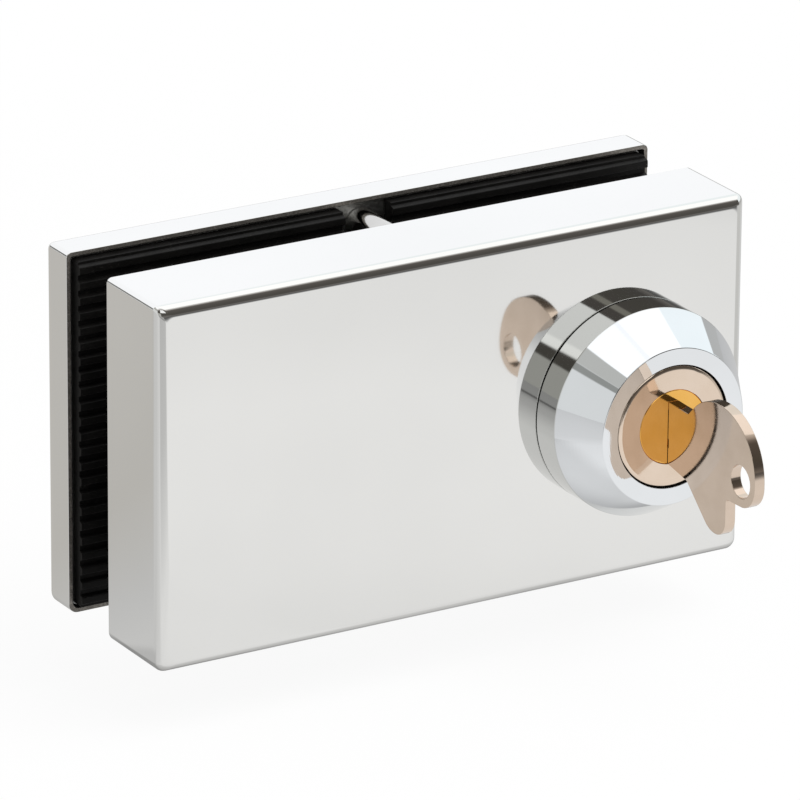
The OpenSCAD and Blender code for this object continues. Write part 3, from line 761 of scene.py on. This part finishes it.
def realize(tree, instances, surface, out, base=None):
    """Ends a tree: its instances as real mesh, with the base where there is one, in one material."""
    shape = geo(tree, "RealizeInstances", {"Geometry": instances}).outputs[0]
    if base is not None:
        joined = geo(tree, "JoinGeometry")
        tree.links.new(shape, joined.inputs[0])
        tree.links.new(base, joined.inputs[0])
        shape = joined.outputs[0]
    done = geo(tree, "SetMaterial", {"Geometry": shape, "Material": surface})
    tree.links.new(done.outputs[0], out["Geometry"])
    return tree


def run_tree(piece, tree, values):
    """Runs a tree on a piece and leaves the plain mesh. Inputs are set by their identifier."""
    modifier = piece.modifiers.new(tree.name, "NODES")
    modifier.node_group = tree
    keys = {item.name: item.identifier for item in tree.interface.items_tree if item.in_out == "INPUT"}
    for label, value in values.items():
        modifier[keys[label]] = value
    return bake(piece)


def make_copies_tree():
    """One copy of a piece on every point, stretched along X by the point's length, joined to a base."""
    tree, given, out = piece_tree("Copies on points", [
        ("Piece", "Object"), ("Base", "Object"), ("Surface", "Material")])
    source = geo(tree, "ObjectInfo", {"Object": given["Piece"]}).outputs["Geometry"]
    base = geo(tree, "ObjectInfo", {"Object": given["Base"]}).outputs["Geometry"]
    length = geo(tree, "InputNamedAttribute", {"Name": "length"}, data_type="FLOAT").outputs[0]
    scale = put(tree, "CombineXYZ", {0: length, 1: 1.0, 2: 1.0}).outputs[0]
    copies = geo(tree, "InstanceOnPoints", {
        "Points": given["Geometry"], "Instance": source, "Scale": scale}).outputs[0]
    return realize(tree, copies, given["Surface"], out, base)


def make_coil_tree():
    """A coil of round wire on every point, wound upwards, its ends inside the given height."""
    tree, given, out = piece_tree("Coils on points", [
        ("Radius", "Float"), ("Height", "Float"), ("Turns", "Float"), ("Wire", "Float"),
        ("Surface", "Material")])
    spiral = geo(tree, "CurveSpiral", {
        "Resolution": 40, "Rotations": given["Turns"], "Start Radius": given["Radius"],
        "End Radius": given["Radius"], "Height": given["Height"]}).outputs[0]
    section = geo(tree, "CurvePrimitiveCircle", {"Resolution": 12, "Radius": given["Wire"]}).outputs[0]
    wire = geo(tree, "CurveToMesh", {
        "Curve": spiral, "Profile Curve": section, "Fill Caps": True}).outputs[0]
    copies = geo(tree, "InstanceOnPoints", {"Points": given["Geometry"], "Instance": wire}).outputs[0]
    return realize(tree, copies, given["Surface"], out)


COPIES = make_copies_tree()
COILS = make_coil_tree()


def points_piece(name, points, lengths=None):
    mesh = bpy.data.meshes.new(name)
    mesh.from_pydata([Vector(p) * MM for p in points], [], [])
    values = lengths or [1.0] * len(points)
    mesh.attributes.new("length", "FLOAT", "POINT").data.foreach_set("value", values)
    return add_object(name, mesh)


def repeat(name, source, node, points, surface, slot, body="lock", base=None, lengths=None, sharp=35):
    """Copies of a source piece about the origin, one on each point, as a single plain mesh."""
    piece = points_piece(name, points, lengths)
    run_tree(piece, COPIES, {"Piece": source, "Base": base, "Surface": surface})
    for tool in filter(None, (source, base)):
        bpy.data.objects.remove(tool)
    finish(smooth(piece, sharp), surface, body, slot, node)


def gasket_outline(low, high, steps=12):
    """The outline of a gasket as (x, z) points, with its notches at the top and bottom centre."""
    corners = round_rect(high.x, (high.z - low.z) / 2, GASKET_CORNER)
    outline = [(x, MID_Z + z) for x, z in corners]
    half = NOTCH_WIDTH / 2
    angles = [math.pi * k / steps for k in range(steps + 1)]
    notch = [(-half * math.cos(a), half * math.sin(a)) for a in angles]
    top = [(half, high.z)] + [(-x, HEIGHT - CLAMP_INSET - z) for x, z in notch] + [(-half, high.z)]
    bottom = [(-half, low.z)] + [(x, CLAMP_INSET + z) for x, z in notch] + [(half, low.z)]
    quarter = len(corners) // 4
    return outline[:quarter] + top + outline[quarter:3 * quarter] + bottom + outline[3 * quarter:]


def rib_rows(half_w, low_z, high_z):
    """Height, start and end of each rib. One beside a notch starts at its side, and the others at 0."""
    count = int((high_z - low_z - RIB_FOOT - RIB_MARGIN) / (2 * RIB_PITCH)) * 2 + 1
    half_notch = NOTCH_WIDTH / 2
    rows = []
    for i in range(count):
        z = MID_Z + (i - (count - 1) / 2) * RIB_PITCH
        near = min(z - low_z, high_z - z) - RIB_FOOT / 2
        inset = GASKET_CORNER - math.sqrt(max(GASKET_CORNER ** 2 - max(GASKET_CORNER - near, 0) ** 2, 0))
        reach = min(abs(z - CLAMP_INSET), abs(z - HEIGHT + CLAMP_INSET)) - RIB_FOOT / 2
        start = 0.0
        if z < CLAMP_INSET or z > HEIGHT - CLAMP_INSET or reach < 0:
            start = half_notch
        elif reach < half_notch:
            start = math.sqrt(half_notch ** 2 - reach ** 2)
        rows.append((z, start, half_w - inset))
    return rows


def make_gasket(side, node):
    """A gasket whose ribs point to the glass. The side is -1 in front of the glass and 1 behind it."""
    low, high = span(node)
    crest, back = (high.y, low.y) if side < 0 else (low.y, high.y)
    foot = crest + side * RIB_HEIGHT
    base = prism("gasket_base", gasket_outline(low, high), min(foot, back), max(foot, back))
    round_edges(base, GASKET_EDGE, 2, 50)
    section = fillet([(-RIB_FOOT / 2, 0, 0), (-RIB_CREST / 2, RIB_HEIGHT, RIB_ROUND),
                      (RIB_CREST / 2, RIB_HEIGHT, RIB_ROUND), (RIB_FOOT / 2, 0, 0)], closed=False, steps=4)
    section = [(-RIB_FOOT / 2, -RIB_ROOT), *section, (RIB_FOOT / 2, -RIB_ROOT)]
    bm = bmesh.new()
    loft(bm, [[(x, -side * h, z) for z, h in section] for x in (-1, 1)])
    rib = mesh_piece("rib", bm)
    points, lengths = [], []
    for z, start, end in rib_rows(high.x, low.z, high.z):
        for way in (-1, 1) if start else (0,):
            points.append((way * (start + end) / 2, foot, z))
            lengths.append((end - start) / 2 if way else end)
    repeat(node + "_ribbed", rib, node, points, RUBBER, "gasket_rubber", "lock", base, lengths, 40)


# Screws, rivets, pins and springs

def middles(found, at=0, upright=False):
    """The middle of each solid, with its place along Y, or along Z where it stands upright, set."""
    centres = [(low + high) / 2 for low, high in found]
    return [(c.x, c.y, at) if upright else (c.x, at, c.z) for c in centres]


def make_clamp_screws():
    found = islands("clamp_screws")
    low, high = found[0]
    head = (high.x - low.x) / 2
    head_y = high.y - CLAMP_HEAD_TALL
    profile = [(CLAMP_SHANK - 0.35, low.y), (CLAMP_SHANK, low.y + 0.4)]
    profile += thread(CLAMP_SHANK, *CLAMP_THREAD, low.y + 0.6, CLAMP_THREAD_END)
    profile += [(CLAMP_SHANK, CLAMP_THREAD_END + 0.3), (CLAMP_SHANK, head_y - 0.01), (head - 0.25, head_y),
                (head, head_y + 0.25), (head, high.y - 0.35), (head - 0.1, high.y - 0.12),
                (head - 0.35, high.y), (2.0, high.y)]
    screw = turned("clamp_screw", profile)
    radius, depth = CLAMP_SOCKET
    cut(screw, prism("tool", circle(radius, 6), high.y - depth, high.y + 1))
    repeat("clamp_screw_pair", screw, "clamp_screws", middles(found), SCREW_STEEL, "screw_steel")


def make_sleeves():
    found = islands("spacer_sleeves")
    low, high = found[0]
    radius = (high.x - low.x) / 2
    bore, edge = SLEEVE_BORE, SLEEVE_EDGE
    profile = [(bore, low.y + edge), (bore + edge, low.y), (radius - 0.2, low.y), (radius, low.y + 0.2),
               (radius, high.y - 0.2), (radius - 0.2, high.y), (bore + edge, high.y), (bore, high.y - edge)]
    sleeve = hollow_turned("sleeve", profile, Vector((0, 0, 0)), 96)
    repeat("spacer_sleeve_pair", sleeve, "spacer_sleeves", middles(found), SLEEVE_STEEL, "screw_steel")


def make_cover_screws():
    found = islands("cover_screws")
    low, high = found[0]
    profile = [(COVER_HEAD - 0.12, low.z), (COVER_HEAD, low.z + 0.06), (COVER_SHANK, low.z + 1.45)]
    profile += thread(COVER_SHANK, *COVER_THREAD, low.z + 1.6, high.z - 0.5)
    profile += [(COVER_SHANK, high.z - 0.4), (COVER_SHANK - 0.35, high.z)]
    screw = turned("cover_screw", profile, upright=True)
    radius, depth = COVER_SOCKET
    cut(screw, prism("tool", circle(radius, 6), low.z - 1, low.z + depth, upright=True))
    points = middles(found, upright=True)
    repeat("cover_screw_set", screw, "cover_screws", points, SCREW_STEEL, "screw_steel")


def make_lid_screws():
    found = islands("lid_screws")
    low, high = found[0]
    head = (high.x - low.x) / 2
    shank = head - LID_HEAD_WIDER
    profile = [(shank - 0.3, low.y), (shank, low.y + 0.35)]
    profile += thread(shank, *LID_THREAD, low.y + 0.4, high.y - 1.3)
    profile += [(shank, high.y - 1.0), (head - 0.08, high.y - 0.06), (head - 0.14, high.y)]
    screw = turned("lid_screw", profile, segments=48)
    for w, h in ((CROSS_REACH, CROSS_HALF), (CROSS_HALF, CROSS_REACH)):
        outline = [(-w, -h), (w, -h), (w, h), (-w, h)]
        cut(screw, prism("tool", outline, high.y - CROSS_DEPTH, high.y + 1))
    repeat("lid_screw_set", screw, "lid_screws", middles(found), SCREW_STEEL, "screw_steel")


def make_rivets():
    found = islands("fork_rivets")
    low, high = found[0]
    radius = (high.x - low.x) / 2
    profile = [(radius - 0.15, low.y), (radius, low.y + 0.15), (radius, high.y - 0.3),
               (radius - 0.12, high.y - 0.12), (radius - 0.4, high.y - 0.03), (radius - 0.9, high.y)]
    rivet = turned("rivet", profile)
    repeat("fork_rivet_pair", rivet, "fork_rivets", middles(found), SCREW_STEEL, "screw_steel", "bolt")


def make_pins_and_springs():
    found = islands("driver_pins")
    low, high = found[0]
    radius, tall = (high.x - low.x) / 2, high.z - low.z
    profile = [(radius - 0.2, 0), (radius, 0.15), (radius, tall - 0.3), (radius - 0.25, tall)]
    pin = turned("driver_pin", profile, upright=True, segments=48)
    points = [(x, y, pair[0].z) for (x, y, _), pair in zip(middles(found, upright=True), found)]
    repeat("driver_pin_row", pin, "driver_pins", points, BRASS, "plain_brass")
    low, high = span("pin_springs")
    piece = points_piece("pin_spring_row", middles(found, low.z + SPRING_WIRE, upright=True))
    run_tree(piece, COILS, {
        "Radius": ((high.x - low.x) / 2 - SPRING_WIRE) * MM, "Wire": SPRING_WIRE * MM,
        "Height": (high.z - low.z - 2 * SPRING_WIRE) * MM, "Turns": SPRING_TURNS, "Surface": SCREW_STEEL})
    finish(smooth(piece, 60), SCREW_STEEL, "lock", "screw_steel", "pin_springs")


def make_softened():
    """Nodes of the mechanism whose shape is right, with softened edges."""
    for node, edge, segments, surface, slot, body in (
            ("bolt", 0.25, 3, BOLT_STEEL, "bolt_steel", "bolt"),
            ("case_lid", 0.15, 2, LID_STEEL, "lid_steel", "lock"),
            ("bolt_fork", 0.15, 2, LID_STEEL, "lid_steel", "bolt"),
            ("cylinder_nut", 0.2, 2, BRASS, "plain_brass", "lock"),
            ("cam", 0.15, 2, LID_STEEL, "lid_steel", "plug")):
        finish(cad_copy(node, edge, segments), surface, body, slot, node)


# Carried-over nodes

def dress(node, surface):
    for place in nodes[node].material_slots:
        place.material = surface
    if not nodes[node].material_slots:
        nodes[node].data.materials.append(surface)


make_covers()
make_collar()
make_cylinder()
make_gasket(-1, "front_gasket")
make_gasket(1, "back_gasket")
make_clamp_screws()
make_sleeves()
make_cover_screws()
make_lid_screws()
make_rivets()
make_pins_and_springs()
make_softened()
for node, surface in (
        ("lock_body", ALLOY), ("clamp_plate", ALLOY), ("spring_cover", BRASS), ("key_pins", BRASS),
        ("nut_washer", SCREW_STEEL), ("plug_circlip", SCREW_STEEL), ("crank_pin", SCREW_STEEL),
        ("cam_screw", SCREW_STEEL)):
    dress(node, surface)


# Camera

AZIMUTH, ELEVATION, ROLL = math.radians(-30.9), math.radians(20.668), math.radians(0.437)
DISTANCE = 1.3389
AIM = Vector((-7.248, -18.16, 37.408)) * MM
LENS, SENSOR = 357.2, 36.0
SHIFT = (-0.0008, 0.0021)


def make_camera():
    data = bpy.data.cameras.new("camera")
    data.lens, data.sensor_width = LENS, SENSOR
    data.shift_x, data.shift_y = SHIFT
    data.clip_start, data.clip_end = 0.05, 20
    data.dof.use_dof = False
    camera = add_object("camera", data)
    back = Vector((math.sin(AZIMUTH) * math.cos(ELEVATION), -math.cos(AZIMUTH) * math.cos(ELEVATION),
                   math.sin(ELEVATION)))
    turn = (-back).to_track_quat("-Z", "Y").to_matrix().to_4x4() @ Matrix.Rotation(ROLL, 4, "Z")
    camera.matrix_world = Matrix.Translation(AIM + back * DISTANCE) @ turn
    bpy.context.scene.camera = camera


# Studio

def grey(tone):
    return tone, tone, tone, 1


# The floor lies below the reach of the thrown bolt
FLOOR_DROP = 12.0
FLOOR_HALF = 3000
FLOOR_WHITE = 0.97
# Share of the floor's painted brightness, which glows, rather than lit white, that gloss sees
FLOOR_GLOW_SHARE = 0.92
# To the camera it turns from nearly white to white between these distances in metres
FADE = (0.12, 0.35, 0.93, 1.0)
# How bright the floor is to gloss, by bearing in degrees: 0 is the front, 90 the right
FLOOR_TONES = (
    (-180, (0.62, 0.60, 0.575)), (-135, (0.60, 0.585, 0.56)), (-126, (0.575, 0.56, 0.535)),
    (-111, 0.64), (-102, 0.69), (-91, 0.67), (-78, 0.73), (-69, 0.76), (-60, 0.87), (-44, 0.90), (-25, 0.92),
    (0, 0.93), (62, 0.93), (76, 0.84), (84, 0.74), (106, 0.72), (118, 0.58), (152, 0.60), (180, 0.62))
# How bright it is towards the front, and towards the front left, by distance in millimetres
FARTHEST = 1200
FRONT_TONES = (
    (25, 0.96), (31, 0.93), (40, 0.86), (57, 0.90), (78, 0.935), (110, 0.955), (160, 0.965), (200, 0.925),
    (258, 0.91), (330, 0.55), (425, 0.26), (700, 0.13), (FARTHEST, 0.12))
CORNER_TONES = (
    (49, 0.85), (93, 0.86), (115, 0.88), (150, 0.74), (192, 0.62), (264, 0.57), (345, 0.40), (368, 0.18),
    (415, 0.18), (440, 0.42), (FARTHEST, 0.42))
# Bearings over which a part of the floor's tones comes in and goes out, and the distances where it starts
FRONT_SPREAD = (-18, -10, 46, 58)
CORNER_SPREAD = (-66, -58, -18, -10)
CORNER_START = (88, 112)
RIGHT_SPREAD = (43, 51, 78, 88)
RIGHT_START = (105, 150)
RIGHT_TONE = (0.66, 0.66, 0.65, 1)
# Shade under the part as gloss sees it: (from, to) metres outside the part's depth, (from, to) tones
SHADES = ((-0.009, 0.001, 0.66, 1.0), (0.0042, 0.0095, 0.84, 1.0))
# It reaches this far past the part's sides, in metres
SHADE_ASIDE = 0.009
# How bright the room is to soft light, and to gloss by the tilt in degrees, from the front over the top
ROOM_SOFT = 0.55
ROOM_TONES = (
    (0, (0.19, 0.18, 0.17)), (10, (0.085, 0.08, 0.075)), (24, (0.09, 0.085, 0.075)),
    (36, (0.10, 0.092, 0.085)), (52, (0.12, 0.11, 0.10)), (58, (0.22, 0.205, 0.195)),
    (63, (0.50, 0.48, 0.46)), (70, (0.78, 0.77, 0.76)), (80, (0.95, 0.95, 0.96)),
    (86, (1.17, 1.18, 1.21)), (180, (1.15, 1.17, 1.21)))
# Boards round the object: (from, to) bearings, (from, to) heights, colour. Their edges are a little soft.
BOARD_SOFT = 0.8
BOARDS = (
    ((-28.5, 10.5), (25, 55), (1.08, 1.09, 1.09)),
    ((-28.5, -23.5), (24, 55), (1.32, 1.33, 1.32)),
    ((19.5, 24), (28, 50), (0.28, 0.27, 0.24)),
    ((-62, -29), (-8, 18), (0.50, 0.50, 0.475)),
    ((-145, -62), (-8, 35), (0.79, 0.80, 0.795)),
    ((-145, -62), (35, 41.5), (0.33, 0.335, 0.32)),
    ((-145, -62), (41.5, 56.5), (0.56, 0.56, 0.535)),
    ((-145, -62), (56.5, 90), (1.26, 1.27, 1.28)),
    ((60, 145), (-8, 12), (0.52, 0.52, 0.51)),
    ((60, 145), (12, 90), (1.05, 1.11, 1.13)),
    ((60, 145), (50, 90), (1.28, 1.28, 1.28)),
    ((-165, -138), (3, 17), (0.22, 0.22, 0.21)),
)


# One lamp from the front right, above
LAMP_PLACE = (0.35, -0.6, 1.2)
LAMP_SIZE = 1.0
LAMP_WATTS = 13


def tone_scale(tree, value, low, high, stops):
    """Colours along a value. Stops are (value, grey or colour)."""
    made = put(tree, "ValToRGB", {"Fac": ramp(tree, value, low, high, kind="LINEAR")})
    line = made.color_ramp
    line.elements.remove(line.elements[1])
    line.elements[0].position = (stops[0][0] - low) / (high - low)
    for at, tone in stops[1:]:
        line.elements.new((at - low) / (high - low))
    for stop, (at, tone) in zip(line.elements, stops):
        stop.color = (*tone, 1) if isinstance(tone, tuple) else grey(tone)
    return made.outputs[0]


def degrees_of(tree, a, b):
    return times(tree, calc(tree, "ARCTAN2", a, b), 180 / math.pi)


def board(tree, bearing, height, sides, heights):
    """Soft-edged mask of a board, from its (from, to) bearings and heights in degrees."""
    masks = [between(tree, value, start - BOARD_SOFT, start + BOARD_SOFT, end - BOARD_SOFT, end + BOARD_SOFT)
             for value, (start, end) in ((bearing, sides), (height, heights))]
    return times(tree, *masks)


def plain_tree(owner):
    """The emptied node tree of a material or world."""
    owner.use_nodes = True
    owner.node_tree.nodes.clear()
    return owner.node_tree


def floor_tone(tree, place, distance):
    """Painted brightness of the floor to gloss: painted light that darkens away from the lamps, with a
    painted shadow under the part.
    """
    x, y, _ = put(tree, "SeparateXYZ", {0: place}).outputs
    bearing = degrees_of(tree, x, times(tree, y, -1.0))
    reach = calc(tree, "DIVIDE", distance, MM)
    tone = tone_scale(tree, bearing, -180, 180, FLOOR_TONES)
    ahead = between(tree, bearing, *FRONT_SPREAD)
    tone = blend_colour(tree, ahead, tone, tone_scale(tree, reach, 0, FARTHEST, FRONT_TONES))
    right = times(tree, between(tree, bearing, *RIGHT_SPREAD), ramp(tree, reach, *RIGHT_START))
    tone = blend_colour(tree, right, tone, RIGHT_TONE)
    corner = times(tree, between(tree, bearing, *CORNER_SPREAD), ramp(tree, reach, *CORNER_START))
    tone = blend_colour(tree, corner, tone, tone_scale(tree, reach, 0, FARTHEST, CORNER_TONES))
    aside = calc(tree, "SUBTRACT", calc(tree, "ABSOLUTE", x), HALF_W * MM + SHADE_ASIDE)
    mid_y = (front_low.y + back_high.y) / 2
    off = calc(tree, "ABSOLUTE", calc(tree, "SUBTRACT", y, mid_y * MM))
    off = calc(tree, "SUBTRACT", off, (back_high.y - mid_y) * MM)
    clear = calc(tree, "ADD", calc(tree, "MAXIMUM", aside, 0.0), off)
    shade = times(tree, *(ramp(tree, clear, *limits) for limits in SHADES))
    shade = put(tree, "CombineXYZ", {0: shade, 1: shade, 2: shade}).outputs[0]
    return vector_calc(tree, "MULTIPLY", tone, shade)


def floor_surface():
    """Pale floor with a faint shadow, white to the camera farther out."""
    made = bpy.data.materials.new("floor")
    tree = plain_tree(made)
    place = tree.nodes.new("ShaderNodeTexCoord").outputs["Object"]
    distance = put(tree, "VectorMath", {0: place}, operation="LENGTH").outputs["Value"]
    tone = floor_tone(tree, place, distance)
    path = tree.nodes.new("ShaderNodeLightPath").outputs
    colour = blend_colour(tree, path["Is Glossy Ray"], grey(FLOOR_WHITE), tone)
    lit = put(tree, "BsdfDiffuse", {"Color": colour})
    # The floor glows with its painted light and shadow for gloss
    sheet = put(tree, "Emission", {"Color": tone, "Strength": 1.0})
    own = times(tree, path["Is Glossy Ray"], FLOOR_GLOW_SHARE)
    to_gloss = put(tree, "MixShader", {0: own, 1: lit.outputs[0], 2: sheet.outputs[0]})
    white = put(tree, "Emission", {"Color": grey(1), "Strength": 1.0})
    far = times(tree, ramp(tree, distance, *FADE), path["Is Camera Ray"])
    mixed = put(tree, "MixShader", {0: far, 1: to_gloss.outputs[0], 2: white.outputs[0]})
    put(tree, "OutputMaterial", {"Surface": mixed.outputs[0]})
    return made


def make_floor():
    bm = bmesh.new()
    corners = ((-1, -1), (1, -1), (1, 1), (-1, 1))
    bm.faces.new([bm.verts.new((a * FLOOR_HALF, b * FLOOR_HALF, -FLOOR_DROP)) for a, b in corners])
    floor = mesh_piece("floor", bm)
    floor.data.materials.append(floor_surface())


def make_world():
    """White to the camera, an even pale room to soft light, and a studio of boards to gloss."""
    world = bpy.data.worlds.new("studio")
    bpy.context.scene.world = world
    tree = plain_tree(world)
    way = tree.nodes.new("ShaderNodeTexCoord").outputs["Generated"]
    x, y, z = put(tree, "SeparateXYZ", {0: way}).outputs
    front = times(tree, y, -1.0)
    tilt = degrees_of(tree, z, front)
    bearing = degrees_of(tree, x, front)
    height = times(tree, calc(tree, "ARCSINE", z), 180 / math.pi)
    colour = tone_scale(tree, tilt, 0, 180, ROOM_TONES)
    for sides, heights, tone in BOARDS:
        colour = blend_colour(tree, board(tree, bearing, height, sides, heights), colour, (*tone, 1))
    path = tree.nodes.new("ShaderNodeLightPath").outputs
    colour = blend_colour(tree, path["Is Glossy Ray"], grey(ROOM_SOFT), colour)
    colour = blend_colour(tree, path["Is Camera Ray"], colour, grey(1))
    light = put(tree, "Background", {"Color": colour, "Strength": 1.0})
    put(tree, "OutputWorld", {"Surface": light.outputs[0]})


def make_lamp():
    data = bpy.data.lights.new("key_lamp", "AREA")
    data.shape = "SQUARE"
    data.size = LAMP_SIZE
    data.energy = LAMP_WATTS
    lamp = add_object("key_lamp", data)
    spot = Vector(LAMP_PLACE)
    lamp.matrix_world = Matrix.Translation(spot) @ (-spot).to_track_quat("-Z", "Y").to_matrix().to_4x4()
    lamp.visible_glossy = False
    lamp.visible_camera = False


make_camera()
make_floor()
make_world()
make_lamp()
bpy.context.scene.view_settings.view_transform = "Standard"
